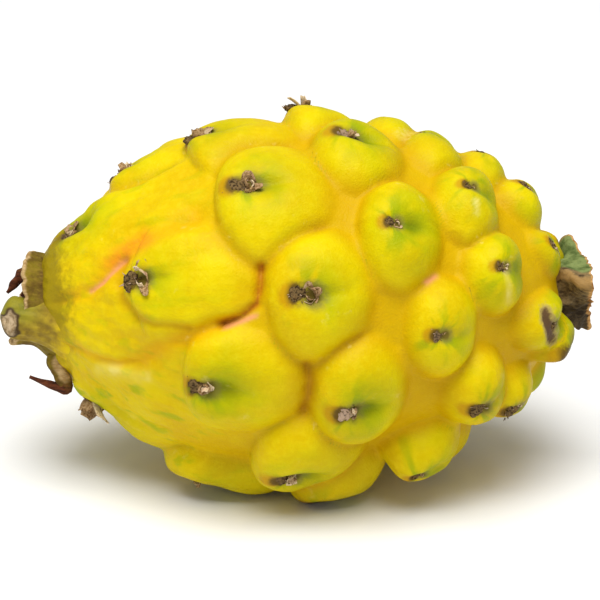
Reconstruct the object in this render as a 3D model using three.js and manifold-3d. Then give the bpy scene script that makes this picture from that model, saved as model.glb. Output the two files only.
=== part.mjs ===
// Yellow dragon fruit, lying on its side as picked. Millimetres, +Z up.
// The long axis runs along X: the cut stem is at +X, the withered flower at -X.
// The origin is on the surface that the fruit lies on, under the middle of the object.
import * as THREE from "three";
import { mergeVertices } from "three/addons/utils/BufferGeometryUtils.js";
import Module from "manifold-3d";

const wasm = await Module();
wasm.setup();

const degree = Math.PI / 180;

// The egg that the tubercles stand on. Its radius follows a power of the sine of the polar angle.
const egg = {
  halfLength: 51,
  radius: 32,
  stemPower: 1, // 1 is an ellipse, and less is blunter
  flowerPower: 1.9, // more is drawn out
  axisHeight: 36, // above the surface: low tubercles are pressed flat there
  facets: 21, // splits of each side of the icosahedron it is meshed from
  evening: 1, // passes that even out its facets
};

// Tubercles follow one spiral. Number 0 is at the middle, and numbers grow towards the stem.
const spiral = {
  first: -21,
  last: 32,
  divergence: 137.8, // degrees from one to the next
  start: 17, // degrees that number 0 sits above the horizontal
  middle: 1, // number 0, along X
  pitch: 2.15, // along X from one to the next, at the middle
  closing: 0.0165, // they crowd by this much, times the number squared
  reach: 54, // half length over the tips
};

// Where this fruit strays from the spiral: number, millimetres along X, degrees around,
// and how many times taller and slimmer than its neighbours, if it is
const strays = new Map([
  [-21, [-4, -8, 1.5]],
  [-20, [4, 0]],
  [-19, [2, 0]],
  [-18, [1, 8, 0.85]],
  [-16, [-2, -18, 1.5]],
  [-15, [2, -4, 0.85]],
  [-11, [4, -6, 1.5]],
  [-10, [3.5, 8]],
  [-3, [3, -6, 1.25]],
  [-2, [4, -4]],
  [0, [0, 4]],
  [2, [0, 5, 1.4]],
  [3, [2, 4]],
  [5, [-2, 0]],
  [6, [3.5, -4, 0.85]],
  [10, [3, -10, 1.45]],
  [11, [2.5, -5, 0.85]],
  [19, [1, -3, 0.85]],
  [23, [0, 12]],
  [24, [1, -6]],
  [26, [2, 5]],
  [31, [1, -4, 1.3]],
]);

// Each size runs from its value at the flower end to its value at the stem end
const tubercle = {
  height: [4.3, 7.5],
  crown: [0.82, 0.6], // past this share of the length they get lower, down to this share
  forward: [9.5, 8], // from the tip to the edge nearer the flower
  backward: [35, 3], // from the tip to the edge nearer the stem
  backwardPower: 2,
  widthShare: [0.46, 0.26], // half width, as a share of the radius there
  fullness: [2.1, 2.5], // power of the dome: more is fuller, with steeper sides
  lean: 0.95, // towards the flower at that end, as a share of the height
  leanPower: 1.4, // how fast the lean is lost towards the stem
  softness: 8, // how sharply neighbours meet
  variation: 0.08, // seeded, on height and width
};

// Each tip carries a withered bract, with a tuft beside it on the flower side
const bract = {
  width: 1.9,
  length: [4, 3],
  thickness: 0.4,
  sunk: 1.6,
  tilt: 30, // degrees off upright, towards the flower
  sides: 5,
  lastShare: 0.96,
};
const tuft = { width: 1.3, length: [2.6, 2.6], thickness: 0.8, sunk: 1.8, tilt: 10, sides: 4, ahead: 1.6 };

// Cut stem: three ribs drawn out towards the cut, and the whole of it tipped up
const stem = {
  place: [45.2, 0, 0.2],
  tilt: 12,
  length: 12.4,
  rootRadius: 4.8,
  neckRadius: 5.6,
  cutRadius: 7.5,
  ribs: 3,
  ribDepth: 0.3,
  firstRib: 80, // degrees up from the -Y side
  ragged: 0.6,
  segments: 36,
};

// Withered flower: a shallow dish with a torn rim, and the fingers of two dry bracts
const flower = {
  place: [-44, 0, -1],
  tilt: -12, // the lower side of the rim stands further out
  length: 8.2,
  rootRadius: 7.6,
  rimRadius: 9.4,
  rimWidth: 1.3,
  dish: 1.6, // depth of the dish under the rim
  torn: 0.7,
  segments: 36,
};

const clearance = 0.35; // between the fruit and the two pieces set in it
const sliver = 0.05; // facets thinner than this are closed up after cutting

const mix = ([from, to], share) => from + (to - from) * share;

// A fixed number from 0 to 1 for each tubercle number and use
function seeded(number, use) {
  const wave = Math.sin(number * 12.9898 + use * 78.233) * 43758.5453;
  return wave - Math.floor(wave);
}

// The egg's surface at a polar cosine and an angle around X, counted up from the -Y side
function eggFrame(cosine, angle) {
  const sine = Math.sqrt(Math.max(1 - cosine * cosine, 1e-6));
  const power = cosine > 0 ? egg.stemPower : egg.flowerPower;
  const radius = egg.radius * sine ** power;
  const slope = new THREE.Vector2(
    -egg.halfLength * sine,
    egg.radius * power * sine ** (power - 1) * cosine,
  ).normalize();
  const out = new THREE.Vector3(0, -Math.cos(angle), Math.sin(angle));
  const along = (x, r) => out.clone().multiplyScalar(r).setX(x);
  return {
    radius,
    point: along(egg.halfLength * cosine, radius),
    normal: along(slope.y, -slope.x),
    toFlower: along(slope.x, slope.y),
    around: new THREE.Vector3(0, Math.sin(angle), Math.cos(angle)),
  };
}

const leanAt = (share) => tubercle.lean * (1 - share) ** tubercle.leanPower;

function makeTubercle(number) {
  const [shift, turn, taller = 1] = strays.get(number) ?? [0, 0];
  const along = spiral.middle + spiral.pitch * number - spiral.closing * number ** 2 + shift;
  const angle = (spiral.start + spiral.divergence * number + turn) * degree;
  const share = (along / spiral.reach + 1) / 2;
  const vary = (use) => 1 + tubercle.variation * (2 * seeded(number, use) - 1);
  const crown = 1 - (1 - tubercle.crown[1]) * THREE.MathUtils.smoothstep(share, tubercle.crown[0], 1);
  const height = mix(tubercle.height, share) * crown * taller * vary(1);
  const lean = leanAt(share);
  // The spiral is that of the tips, and the base of a leaning tubercle is behind its tip
  const seat = eggFrame((along + lean * height) / spiral.reach, angle);
  return {
    ...seat,
    share,
    height,
    lean,
    forward: mix(tubercle.forward, share),
    backward: mix(tubercle.backward, 1 - (1 - share) ** tubercle.backwardPower),
    halfWidth: (mix(tubercle.widthShare, share) * (seat.radius + height) * vary(2)) / taller,
    fullness: mix(tubercle.fullness, share) * taller,
  };
}

const tubercles = [];
for (let number = spiral.first; number <= spiral.last; number++) tubercles.push(makeTubercle(number));

// How far one tubercle lifts a point of the egg
function dome(t, point) {
  const offset = point.clone().sub(t.point);
  const ahead = offset.dot(t.toFlower);
  const length = ahead > 0 ? t.forward : t.backward;
  const across = Math.hypot(offset.dot(t.around), offset.dot(t.normal));
  const distance = Math.hypot(ahead / length, across / t.halfWidth);
  return t.height * Math.max(1 - distance ** t.fullness, 0);
}

// The rind: the egg, lifted by its tubercles, which lean towards the flower
function rindPoint(direction) {
  const frame = eggFrame(direction.x, Math.atan2(direction.z, -direction.y));
  let sum = 0;
  for (const t of tubercles) sum += dome(t, frame.point) ** tubercle.softness;
  const lift = sum ** (1 / tubercle.softness);
  const lean = leanAt((direction.x + 1) / 2);
  return frame.point.addScaledVector(frame.normal, lift).addScaledVector(frame.toFlower, lean * lift);
}

// One point for each corner, whatever meets there
function welded(geometry) {
  const bare = new THREE.BufferGeometry();
  bare.setAttribute("position", geometry.getAttribute("position"));
  bare.setIndex(geometry.index);
  return mergeVertices(bare, 1e-4);
}

// Moves each point half way to the middle of its neighbours, which evens out steep flanks
function evened(geometry, passes) {
  const corners = geometry.index.array;
  const place = geometry.getAttribute("position");
  for (let pass = 0; pass < passes; pass++) {
    const sums = Array.from({ length: place.count }, () => new THREE.Vector4(0, 0, 0, 0));
    for (let i = 0; i < corners.length; i++) {
      const next = corners[i % 3 === 2 ? i - 2 : i + 1];
      sums[corners[i]].add(new THREE.Vector4(place.getX(next), place.getY(next), place.getZ(next), 1));
    }
    sums.forEach((sum, i) => {
      const middle = new THREE.Vector3(sum.x, sum.y, sum.z).divideScalar(sum.w);
      const point = new THREE.Vector3().fromBufferAttribute(place, i).lerp(middle, 0.5);
      place.setXYZ(i, ...point.toArray());
    });
  }
  return geometry;
}

function solidOf(geometry) {
  const { attributes, index } = welded(geometry);
  return new wasm.Manifold(
    new wasm.Mesh({
      numProp: 3,
      vertProperties: new Float32Array(attributes.position.array),
      triVerts: new Uint32Array(index.array),
    }),
  );
}

function largestBody(solid) {
  return solid.decompose().reduce((a, b) => (a.volume() > b.volume() ? a : b));
}

function geometryOf(solid) {
  const { vertProperties, triVerts } = solid.getMesh();
  const geometry = new THREE.BufferGeometry();
  geometry.setAttribute("position", new THREE.BufferAttribute(vertProperties, 3));
  geometry.setIndex(new THREE.BufferAttribute(triVerts, 1));
  geometry.computeVertexNormals();
  return geometry;
}

function movePoints(geometry, move) {
  const place = geometry.getAttribute("position");
  const point = new THREE.Vector3();
  for (let i = 0; i < place.count; i++) {
    point.fromBufferAttribute(place, i);
    place.setXYZ(i, ...move(point).toArray());
  }
  return geometry;
}

const tipOf = (t) =>
  t.point
    .clone()
    .addScaledVector(t.normal, t.height)
    .addScaledVector(t.toFlower, t.lean * t.height);

// Those pressed flat on the surface and those against the stem have lost their bracts
const showsTip = (t) => tipOf(t).z > 2 - egg.axisHeight && t.share < bract.lastShare;

// A flat spike on a tubercle's tip, its root sunk in the rind
function spike(t, shape, ahead) {
  const length = mix(shape.length, t.share);
  const geometry = new THREE.ConeGeometry(shape.width, length, shape.sides);
  geometry.translate(0, length / 2 - shape.sunk, 0);
  geometry.scale(1, 1, shape.thickness);
  geometry.rotateX(shape.tilt * degree);
  const frame = new THREE.Matrix4().makeBasis(t.around, t.normal, t.toFlower);
  return solidOf(geometry.applyMatrix4(frame.setPosition(tipOf(t).addScaledVector(t.toFlower, ahead))));
}

// A profile of [radius, along] points turned about +X, shaped by a rule and then put in place
function turned(profile, piece, facing, shape) {
  const points = profile.map(([radius, along]) => new THREE.Vector2(radius, along));
  const geometry = new THREE.LatheGeometry(points, piece.segments).rotateZ(-90 * degree);
  movePoints(geometry, (p) => shape(p, Math.atan2(p.z, -p.y), Math.hypot(p.y, p.z)));
  geometry.rotateY((90 - facing * 90) * degree).rotateY(-piece.tilt * degree);
  return solidOf(geometry.translate(...piece.place));
}

function stemSolid(grow) {
  const { length, rootRadius, neckRadius, cutRadius } = stem;
  const profile = [
    [0, -grow],
    [rootRadius + grow, -grow],
    [rootRadius + grow, length * 0.3],
    [neckRadius + grow, length * 0.5],
    [(neckRadius + cutRadius) / 2 + grow, length * 0.75],
    [cutRadius + grow, length - 0.6 + grow],
    [cutRadius * 0.8 + grow, length + grow],
    [cutRadius * 0.4, length - 0.5 + grow],
    [0, length - 0.8 + grow],
  ];
  return turned(profile, stem, 1, (p, angle, radius) => {
    const drawn = THREE.MathUtils.smoothstep(p.x, length * 0.3, length);
    const spread = 1 + stem.ribDepth * drawn * Math.cos(stem.ribs * (angle - stem.firstRib * degree));
    const tear = radius > 1 ? stem.ragged * drawn * Math.sin(5 * angle + 1) : 0;
    return p.set(p.x + tear, p.y * spread, p.z * spread);
  });
}

function dishSolid(grow) {
  const { length, rootRadius, rimRadius, rimWidth, dish } = flower;
  const profile = [
    [0, -grow],
    [rootRadius + grow, -grow],
    [(rootRadius + rimRadius) / 2 + grow, length * 0.5],
    [rimRadius + grow, length + grow],
    [rimRadius - rimWidth, length - 0.3 + grow],
    [rimRadius - 2 * rimWidth, length - dish + grow],
    [0, length - dish + grow],
  ];
  return turned(profile, flower, -1, (p, angle, radius) => {
    const edge = radius > rimRadius - 1.5 * rimWidth ? THREE.MathUtils.smoothstep(p.x, 0, length) : 0;
    const tear = Math.sin(3 * angle + 2) + 0.6 * Math.sin(7 * angle);
    return p.setX(p.x + flower.torn * tear * edge);
  });
}

// A dry finger of a bract along a path of points
function finger(path, halfWidth, halfThickness, grow) {
  const section = new THREE.Shape();
  section.absellipse(0, 0, halfThickness + grow, halfWidth + grow, 0, 2 * Math.PI);
  const points = path.map((p) => new THREE.Vector3(...p));
  const [before, tip] = points.slice(-2);
  tip.addScaledVector(tip.clone().sub(before).normalize(), grow);
  const curve = new THREE.CatmullRomCurve3(points);
  const options = { steps: 8, curveSegments: 3, bevelEnabled: false, extrudePath: curve };
  return solidOf(new THREE.ExtrudeGeometry(section, options));
}

const upperFinger = [
  [-49, -1, 7.6],
  [-52.4, -1.6, 5.2],
  [-54.8, -2, 2.4],
];
const lowerFinger = [
  [-47.4, -1, -7],
  [-47.2, -3.4, -11.6],
  [-44.8, -4.6, -16.4],
  [-47.2, -4.6, -17],
  [-51.4, -4.6, -14.6],
];

function fruitSolid() {
  const ball = welded(new THREE.IcosahedronGeometry(1, egg.facets));
  let solid = solidOf(evened(movePoints(ball, (p) => rindPoint(p.normalize())), egg.evening));
  for (const t of tubercles.filter(showsTip)) {
    solid = solid.add(spike(t, bract, 0)).add(spike(t, tuft, tuft.ahead));
  }
  const floor = new THREE.BoxGeometry(200, 200, 40).translate(0, 0, -egg.axisHeight - 20);
  solid = solid.subtract(solidOf(floor));
  solid = solid.subtract(stemSolid(clearance)).subtract(flowerRemains(clearance));
  return largestBody(solid.simplify(sliver));
}

function flowerRemains(grow) {
  const upper = finger(upperFinger, 1.3, 1, grow);
  const lower = finger(lowerFinger, 1.5, 0.9, grow);
  return largestBody(dishSolid(grow).add(upper).add(lower));
}

function mesh(name, solid, color, roughness) {
  const material = new THREE.MeshStandardMaterial({ color, roughness, metalness: 0 });
  const made = new THREE.Mesh(geometryOf(solid), material);
  made.name = name;
  return made;
}

const dragonFruit = new THREE.Group();
dragonFruit.add(
  mesh("fruit", fruitSolid(), 0xe9cd08, 0.42),
  mesh("stem", stemSolid(0), 0x6d5a30, 0.85),
  mesh("withered_flower", flowerRemains(0), 0x7d5c2c, 0.88),
);

const box = new THREE.Box3().setFromObject(dragonFruit);
const middle = box.getCenter(new THREE.Vector3());
dragonFruit.position.set(-middle.x, -middle.y, egg.axisHeight);

export default dragonFruit;
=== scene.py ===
import bpy
import math
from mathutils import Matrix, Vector, noise


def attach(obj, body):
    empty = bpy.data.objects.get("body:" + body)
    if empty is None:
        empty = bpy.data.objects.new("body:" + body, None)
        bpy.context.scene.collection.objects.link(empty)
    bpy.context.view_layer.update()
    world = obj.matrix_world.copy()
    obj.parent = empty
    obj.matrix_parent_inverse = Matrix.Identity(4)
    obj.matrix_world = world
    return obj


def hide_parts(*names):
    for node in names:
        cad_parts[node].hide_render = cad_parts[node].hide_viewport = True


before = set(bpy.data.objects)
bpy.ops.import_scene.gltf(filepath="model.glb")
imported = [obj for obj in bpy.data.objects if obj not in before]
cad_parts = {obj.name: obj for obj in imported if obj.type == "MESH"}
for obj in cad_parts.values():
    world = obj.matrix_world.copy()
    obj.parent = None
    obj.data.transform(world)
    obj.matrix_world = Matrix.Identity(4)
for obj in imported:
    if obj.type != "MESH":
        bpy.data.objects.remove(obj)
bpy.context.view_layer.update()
print("frame loaded:", sorted(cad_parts))

mm = 0.001
scene = bpy.context.scene
axisAt = Vector((-1.7, -0.76, 36.0))  # middle of the egg in the frame, in mm

# the photograph's view of the egg, in degrees, mm and pixels, and the camera's clip start in m
view = {"azimuth": -2.0, "elevation": 20.0, "distance": 450.0, "width": 116.4,
        "target": (1.5, 0.0, -0.5), "pixels": 600, "sensor": 36, "clipStart": 0.01}


def viewAxes():
    azimuth, elevation = math.radians(view["azimuth"]), math.radians(view["elevation"])
    back = Vector((math.sin(azimuth) * math.cos(elevation),
                   -math.cos(azimuth) * math.cos(elevation), math.sin(elevation)))
    right = Vector((math.cos(azimuth), math.sin(azimuth), 0))
    return right, back.cross(right), back


# wiring: sockets that can be added and multiplied, in geometry and shader trees alike
class Wire:
    def __init__(self, tree, socket):
        self.tree = tree
        self.socket = socket
        self.isVector = socket.type == "VECTOR"

    def through(self, operation, *others):
        kind = "ShaderNodeVectorMath" if self.isVector else "ShaderNodeMath"
        made = self.tree.nodes.new(kind)
        made.operation = operation
        for socket, value in zip(made.inputs, (self, *others)):
            feed(self.tree, socket, value)
        toNumber = operation in ("DOT_PRODUCT", "LENGTH", "DISTANCE")
        return Wire(self.tree, made.outputs["Value" if toNumber or not self.isVector else "Vector"])

    def scaled(self, factor):
        made = self.tree.nodes.new("ShaderNodeVectorMath")
        made.operation = "SCALE"
        feed(self.tree, made.inputs[0], self)
        feed(self.tree, made.inputs["Scale"], factor)
        return Wire(self.tree, made.outputs["Vector"])

    def __mul__(self, other):
        if self.isVector and not (isinstance(other, Wire) and other.isVector):
            return self.scaled(other)
        if isinstance(other, Wire) and other.isVector and not self.isVector:
            return other.scaled(self)
        return self.through("MULTIPLY", other)

    def __add__(self, other):
        return self.through("ADD", other)

    def __sub__(self, other):
        return self.through("SUBTRACT", other)

    def __rsub__(self, other):
        return (self * -1.0) + other

    def __truediv__(self, other):
        return self.through("DIVIDE", other)

    def __rtruediv__(self, other):
        return (self ** -1.0) * other

    def __pow__(self, other):
        return self.through("POWER", other)

    __rmul__ = __mul__
    __radd__ = __add__

    def dot(self, other):
        return self.through("DOT_PRODUCT", other)

    def over(self, other):
        return self.through("GREATER_THAN", other)

    def bell(self):  # 1 at zero, falling off with the square
        return ((self * self) * -1.0).through("EXPONENT")

    def ramp(self, low, high, atLow=0.0, atHigh=1.0):
        made = addNode(self.tree, "ShaderNodeMapRange", interpolation_type="SMOOTHSTEP")
        for name, value in (("Value", self), ("From Min", low), ("From Max", high),
                            ("To Min", atLow), ("To Max", atHigh)):
            feed(self.tree, made.inputs[name], value)
        return Wire(self.tree, made.outputs["Result"])

    def split(self):
        made = addNode(self.tree, "ShaderNodeSeparateXYZ", {"Vector": self})
        return [Wire(self.tree, out) for out in made.outputs]


def feed(tree, socket, value):
    if isinstance(value, Wire):
        tree.links.new(value.socket, socket)
    elif isinstance(value, bpy.types.NodeSocket):
        tree.links.new(value, socket)
    else:
        socket.default_value = value


def addNode(tree, kind, inputs=None, **settings):
    made = tree.nodes.new(kind)
    for name, value in settings.items():
        setattr(made, name, value)
    for name, value in (inputs or {}).items():
        feed(tree, made.inputs[name], value)
    return made


def joinXyz(tree, x, y, z):
    made = addNode(tree, "ShaderNodeCombineXYZ", {"X": x, "Y": y, "Z": z})
    return Wire(tree, made.outputs[0])


def noiseOf(tree, place, scale, detail=2.0, rough=0.5):
    made = addNode(tree, "ShaderNodeTexNoise",
                   {"Vector": place, "Scale": scale, "Detail": detail, "Roughness": rough})
    return Wire(tree, made.outputs[0])


# geometry trees
def newGeometryTree(name, inputs):
    tree = bpy.data.node_groups.new(name, "GeometryNodeTree")
    for label, kind in inputs.items():
        tree.interface.new_socket(label, in_out="INPUT", socket_type="NodeSocket" + kind)
    tree.interface.new_socket("Geometry", in_out="OUTPUT", socket_type="NodeSocketGeometry")
    given = tree.nodes.new("NodeGroupInput")
    return tree, {label: Wire(tree, given.outputs[label]) for label in inputs}


def endTree(tree, geometry, material):
    real = addNode(tree, "GeometryNodeRealizeInstances", {"Geometry": geometry})
    smooth = addNode(tree, "GeometryNodeSetShadeSmooth", {"Geometry": real.outputs[0]})
    painted = addNode(tree, "GeometryNodeSetMaterial",
                      {"Geometry": smooth.outputs[0], "Material": material})
    out = tree.nodes.new("NodeGroupOutput")
    tree.links.new(painted.outputs[0], out.inputs[0])


def stored(tree, geometry, name, value):
    kind = "FLOAT_VECTOR" if value.isVector else "FLOAT"
    made = addNode(tree, "GeometryNodeStoreNamedAttribute", data_type=kind, domain="POINT")
    feed(tree, made.inputs["Geometry"], geometry)
    feed(tree, made.inputs["Name"], name)
    feed(tree, made.inputs["Value"], value)
    return made.outputs[0]


def named(tree, name, vector=False):
    made = addNode(tree, "GeometryNodeInputNamedAttribute", {"Name": name},
                   data_type="FLOAT_VECTOR" if vector else "FLOAT")
    return Wire(tree, made.outputs["Attribute"])


def moved(tree, geometry, place=None, offset=None):
    made = addNode(tree, "GeometryNodeSetPosition", {"Geometry": geometry})
    if place is not None:
        feed(tree, made.inputs["Position"], place)
    if offset is not None:
        feed(tree, made.inputs["Offset"], offset)
    return made.outputs[0]


def blurred(tree, value, times):
    made = addNode(tree, "GeometryNodeBlurAttribute", {"Iterations": times}, data_type="FLOAT")
    feed(tree, made.inputs["Value"], value)
    return Wire(tree, made.outputs[0])


def hereOf(tree):
    return Wire(tree, tree.nodes.new("GeometryNodeInputPosition").outputs[0])


def grow(name, tree, values):
    # runs a tree on an empty mesh and keeps the result as a plain mesh object
    made = bpy.data.objects.new(name, bpy.data.meshes.new(name))
    scene.collection.objects.link(made)
    modifier = made.modifiers.new("grow", "NODES")
    modifier.node_group = tree
    for item in tree.interface.items_tree:
        if item.item_type == "SOCKET" and item.in_out == "INPUT":
            modifier[item.identifier] = values[item.name]
    bpy.context.view_layer.update()
    evaluated = made.evaluated_get(bpy.context.evaluated_depsgraph_get())
    plain = bpy.data.meshes.new_from_object(evaluated)
    made.modifiers.remove(modifier)
    made.data = plain
    plain.name = name
    print(name, len(plain.polygons), "faces")
    return made


# the fruit's rule: an egg with tubercles on one spiral, sizes in mm and degrees
egg = {"halfLength": 51.0, "radius": 31.0, "stemPower": 1.0, "flowerPower": 1.9}

spiral = {"first": -20, "last": 32, "divergence": 137.8, "start": 17, "middle": 1,
          "pitch": 2.15, "closing": 0.0165, "reach": 54}

# pairs run from the flower end to the stem end, and a change is the stretch of that way where a pair changes
tubercle = {
    "height": (4.4, 8.2), "crownFrom": 0.82, "crownLowest": 0.6, "widthShare": (0.46, 0.28),
    "fullness": (3.4, 2.2), "lean": 0.95, "leanPower": 1.4, "variation": 0.08,
    "forward": (6.2, 9.3), "forwardChange": (0.25, 0.5), "backward": (33, 5.5),
    "flowerFront": 7, "flowerChange": (0.02, 0.25), "stemFront": 1.0, "stemChange": (0.5, 0.8),
    "areoleAhead": (0.3, 2.0), "aheadChange": (0.45, 0.75),
    "areole": (1.15, 0.65), "cup": (1.0, 0.7), "areoleChange": (0.5, 0.75), "sunk": (0.8, 1.8),
}

# single tubercles, times the rule's height, width and front
heightTimes = {-18: 0.85, -16: 1.05, -11: 1.5, -7: 0.75, -3: 1.25, -2: 1.05, 2: 1.4, 6: 0.9,
               10: 1.45, 11: 0.85, 19: 0.85, 26: 1.1, 31: 1.5}
widthTimes = {-13: 1.2, -11: 0.8, -5: 1.05, -3: 1.1, 0: 1.1, 10: 0.72, 15: 0.8, 18: 0.88,
              21: 0.95, 23: 0.85, 26: 1.25}
frontTimes = {-13: 0.72, -11: 1.35, -10: 0.7, -2: 0.55, 26: 1.4}

# areoles that differ from the rule: size, pale disc in the wool, size of the torn cup
areoles = {
    -16: (1.3, 0, 1.6), -15: (1.1, 0, 1.4), -13: (1.2, 0, 1.3), -8: (1.1, 0.5, 0.95), -5: (1.2, 0, 1.15),
    -2: (1.2, 0, 1.3), 0: (1.2, 0, 1.15), 3: (1.1, 1, 0.8), 5: (1.1, 1, 0.7), 13: (0.75, 1, 0.5),
    18: (0.9, 0, 0.7), 23: (1.0, 0, 0.7), 26: (0.6, 0, 0), 31: (1.1, 1, 0.4),
}

# pixels where the photograph shows an areole: its tubercle is moved from the spiral to show there
areolePixels = {
    -18: (66, 236), -16: (86, 404), -15: (117, 170), -13: (135, 281), -11: (190, 481), -10: (196, 138),
    -8: (200, 387), -5: (242, 186), -3: (285, 478), -2: (297, 106), 0: (303, 295),
    3: (345, 134), 5: (347, 412), 6: (385, 122), 8: (393, 223), 10: (418, 474), 11: (428, 134),
    13: (440, 335), 16: (470, 187), 18: (480, 407), 19: (484, 155), 21: (503, 267), 23: (513, 407),
    24: (525, 189), 26: (555, 325), 29: (552, 246), 31: (570, 348),
}
strays = {-20: (4, 0), -19: (2, 0), 2: (0, 5)}  # out of sight: mm along, degrees around
settling = {"steps": 30, "firstTurn": 10, "damping": 1}  # the search for a pixel's place on the fruit


def mix(pair, share):
    return pair[0] + (pair[1] - pair[0]) * share


def seeded(number, use):
    wave = math.sin(number * 12.9898 + use * 78.233) * 43758.5453
    return wave - math.floor(wave)


def smoothStep(value, low, high):
    t = min(max((value - low) / (high - low), 0), 1)
    return t * t * (3 - 2 * t)


def eggFrame(cosine, angle):
    sine = math.sqrt(max(1 - cosine * cosine, 1e-6))
    power = egg["stemPower"] if cosine > 0 else egg["flowerPower"]
    radius = egg["radius"] * sine ** power
    slope = Vector((-egg["halfLength"] * sine,
                    egg["radius"] * power * sine ** (power - 1) * cosine)).normalized()
    out = Vector((0, -math.cos(angle), math.sin(angle)))
    lengthwise = Vector((1, 0, 0))
    return {"radius": radius,
            "point": lengthwise * egg["halfLength"] * cosine + out * radius,
            "normal": lengthwise * slope.y - out * slope.x,
            "toFlower": lengthwise * slope.x + out * slope.y,
            "around": Vector((0, math.sin(angle), math.cos(angle)))}


def makeTubercle(number, stray):
    along = spiral["middle"] + spiral["pitch"] * number - spiral["closing"] * number ** 2 + stray[0]
    angle = math.radians(spiral["start"] + spiral["divergence"] * number + stray[1])
    share = (along / spiral["reach"] + 1) / 2
    tall = heightTimes.get(number, 1)

    def vary(use):
        return 1 + tubercle["variation"] * (2 * seeded(number, use) - 1)

    def changing(name, change):
        return mix(tubercle[name], smoothStep(share, *tubercle[change]))

    crown = 1 - (1 - tubercle["crownLowest"]) * smoothStep(share, tubercle["crownFrom"], 1)
    height = mix(tubercle["height"], share) * crown * tall * vary(1)
    lean = tubercle["lean"] * (1 - share) ** tubercle["leanPower"]
    made = eggFrame((along + lean * height) / spiral["reach"], angle)
    halfWidth = mix(tubercle["widthShare"], share) * (made["radius"] + height)
    halfWidth *= vary(2) / tall * widthTimes.get(number, 1)
    forward = changing("forward", "forwardChange")
    forward += tubercle["flowerFront"] * (1 - smoothStep(share, *tubercle["flowerChange"]))
    forward -= tubercle["stemFront"] * smoothStep(share, *tubercle["stemChange"])
    forward *= frontTimes.get(number, 1)
    backward = mix(tubercle["backward"], 1 - (1 - share) ** 2)
    ahead = changing("areoleAhead", "aheadChange")
    usual = (changing("areole", "areoleChange"), 0, changing("cup", "areoleChange"))
    made["size"] = Vector((height, halfWidth, mix(tubercle["fullness"], share) * tall))
    made["reach"] = Vector((forward, backward, 0))
    made["mark"] = Vector((share, seeded(number, 3), ahead))
    made["areole"] = Vector(areoles.get(number, usual))
    made["tip"] = made["point"] + made["normal"] * height + made["toFlower"] * (lean * height + ahead)
    return made


def onPhotograph(place):  # pixel that a place falls on, for one place or for every point of a tree
    right, up, back = viewAxes()
    fromTarget = place - Vector(view["target"])
    scale = view["distance"] * view["pixels"] / view["width"]
    nearness = scale / (view["distance"] - fromTarget.dot(back))
    half = view["pixels"] / 2
    return fromTarget.dot(right) * nearness + half, half - fromTarget.dot(up) * nearness


def shownAt(number, stray):
    made = makeTubercle(number, stray)
    sunk = mix(tubercle["sunk"], made["mark"][0])
    return Vector(onPhotograph(made["tip"] - made["normal"] * sunk))


def strayOf(number):
    if number not in areolePixels:
        return Vector(strays.get(number, (0, 0)))
    # starts a little towards the camera, and comes to rest at the outline if it gets there
    turned = math.radians(spiral["start"] + spiral["divergence"] * number - view["elevation"])
    stray = Vector((0, math.copysign(settling["firstTurn"], -math.sin(turned))))
    for step in range(settling["steps"]):
        here = shownAt(number, stray)
        miss = Vector(areolePixels[number]) - here
        byAlong = shownAt(number, stray + Vector((1, 0))) - here
        byAround = shownAt(number, stray + Vector((0, 1))) - here
        # damped least squares for both moves together
        a, c = (by.dot(by) + settling["damping"] for by in (byAlong, byAround))
        b = byAlong.dot(byAround)
        p, q = byAlong.dot(miss), byAround.dot(miss)
        stray += Vector((c * p - b * q, a * q - b * p)) / (a * c - b * b)
    return stray


def makePoints():
    tubercles = [makeTubercle(n, strayOf(n)) for n in range(spiral["first"], spiral["last"] + 1)]
    mesh = bpy.data.meshes.new("tuberclePoints")
    mesh.from_pydata([t["point"] for t in tubercles], [], [])
    for name in ("normal", "toFlower", "around", "size", "reach", "mark", "tip", "areole"):
        data = mesh.attributes.new(name, "FLOAT_VECTOR", "POINT").data
        data.foreach_set("vector", [v for t in tubercles for v in t[name]])
    made = bpy.data.objects.new("tuberclePoints", mesh)
    scene.collection.objects.link(made)
    return made


tuberclePoints = makePoints()
print("tubercles:", len(tuberclePoints.data.vertices))


# splits, scars and folds that the photograph shows: pixels along each, half width in pixels, depth in mm; the
# rind's material paints shade into the cleft, valley, step and folds, and a highlight along the pale lines
skinMarks = {
    "cleft": [(((261, 265), (260, 285), (256, 304), (243, 315), (221, 325)), 4, 1.2)],
    "valley": [(((307, 367), (311, 384), (308, 400), (303, 412)), 6, 0.9)],
    "scar": [(((88, 291), (99, 283), (111, 270), (121, 258)), 2.2, 0.3),
             (((255, 316), (240, 322), (225, 328)), 2.5, 0.0),
             (((427, 282), (435, 277)), 3, 0.2)],
    "blush": [(((110, 263), (126, 247), (144, 238)), 8, 0.0)],
    "sunken": [(((548, 312), (550, 325), (553, 339)), 7, 0.8)],
    "pale": [(((100, 369), (120, 372), (146, 378)), 5, 0.0),
             (((505, 271), (510, 285), (509, 302)), 2.5, 0.2),
             (((476, 200), (477, 212)), 2.5, 0.1)],
    "step": [(((122, 259), (118, 277), (121, 298), (136, 317), (152, 325), (188, 328)), 4, 0.7)],
    "fold": [(((60, 300), (90, 289), (117, 262), (142, 241), (167, 227), (195, 217)), 9, 0.9),
             (((60, 347), (76, 349), (92, 358), (117, 364), (140, 361)), 4.5, 0.7),
             (((140, 361), (160, 348), (200, 334), (221, 326)), 9, 0.7)],
}


def awayFromLine(tree, place, start, end):
    start = Vector((*start, 0))
    step = Vector((*end, 0)) - start
    run = (place - start).dot(step / step.length_squared)
    run = run.through("MAXIMUM", 0.0).through("MINIMUM", 1.0)
    nearest = joinXyz(tree, run * step.x + start.x, run * step.y + start.y, 0.0)
    return place.through("DISTANCE", nearest)


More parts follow.
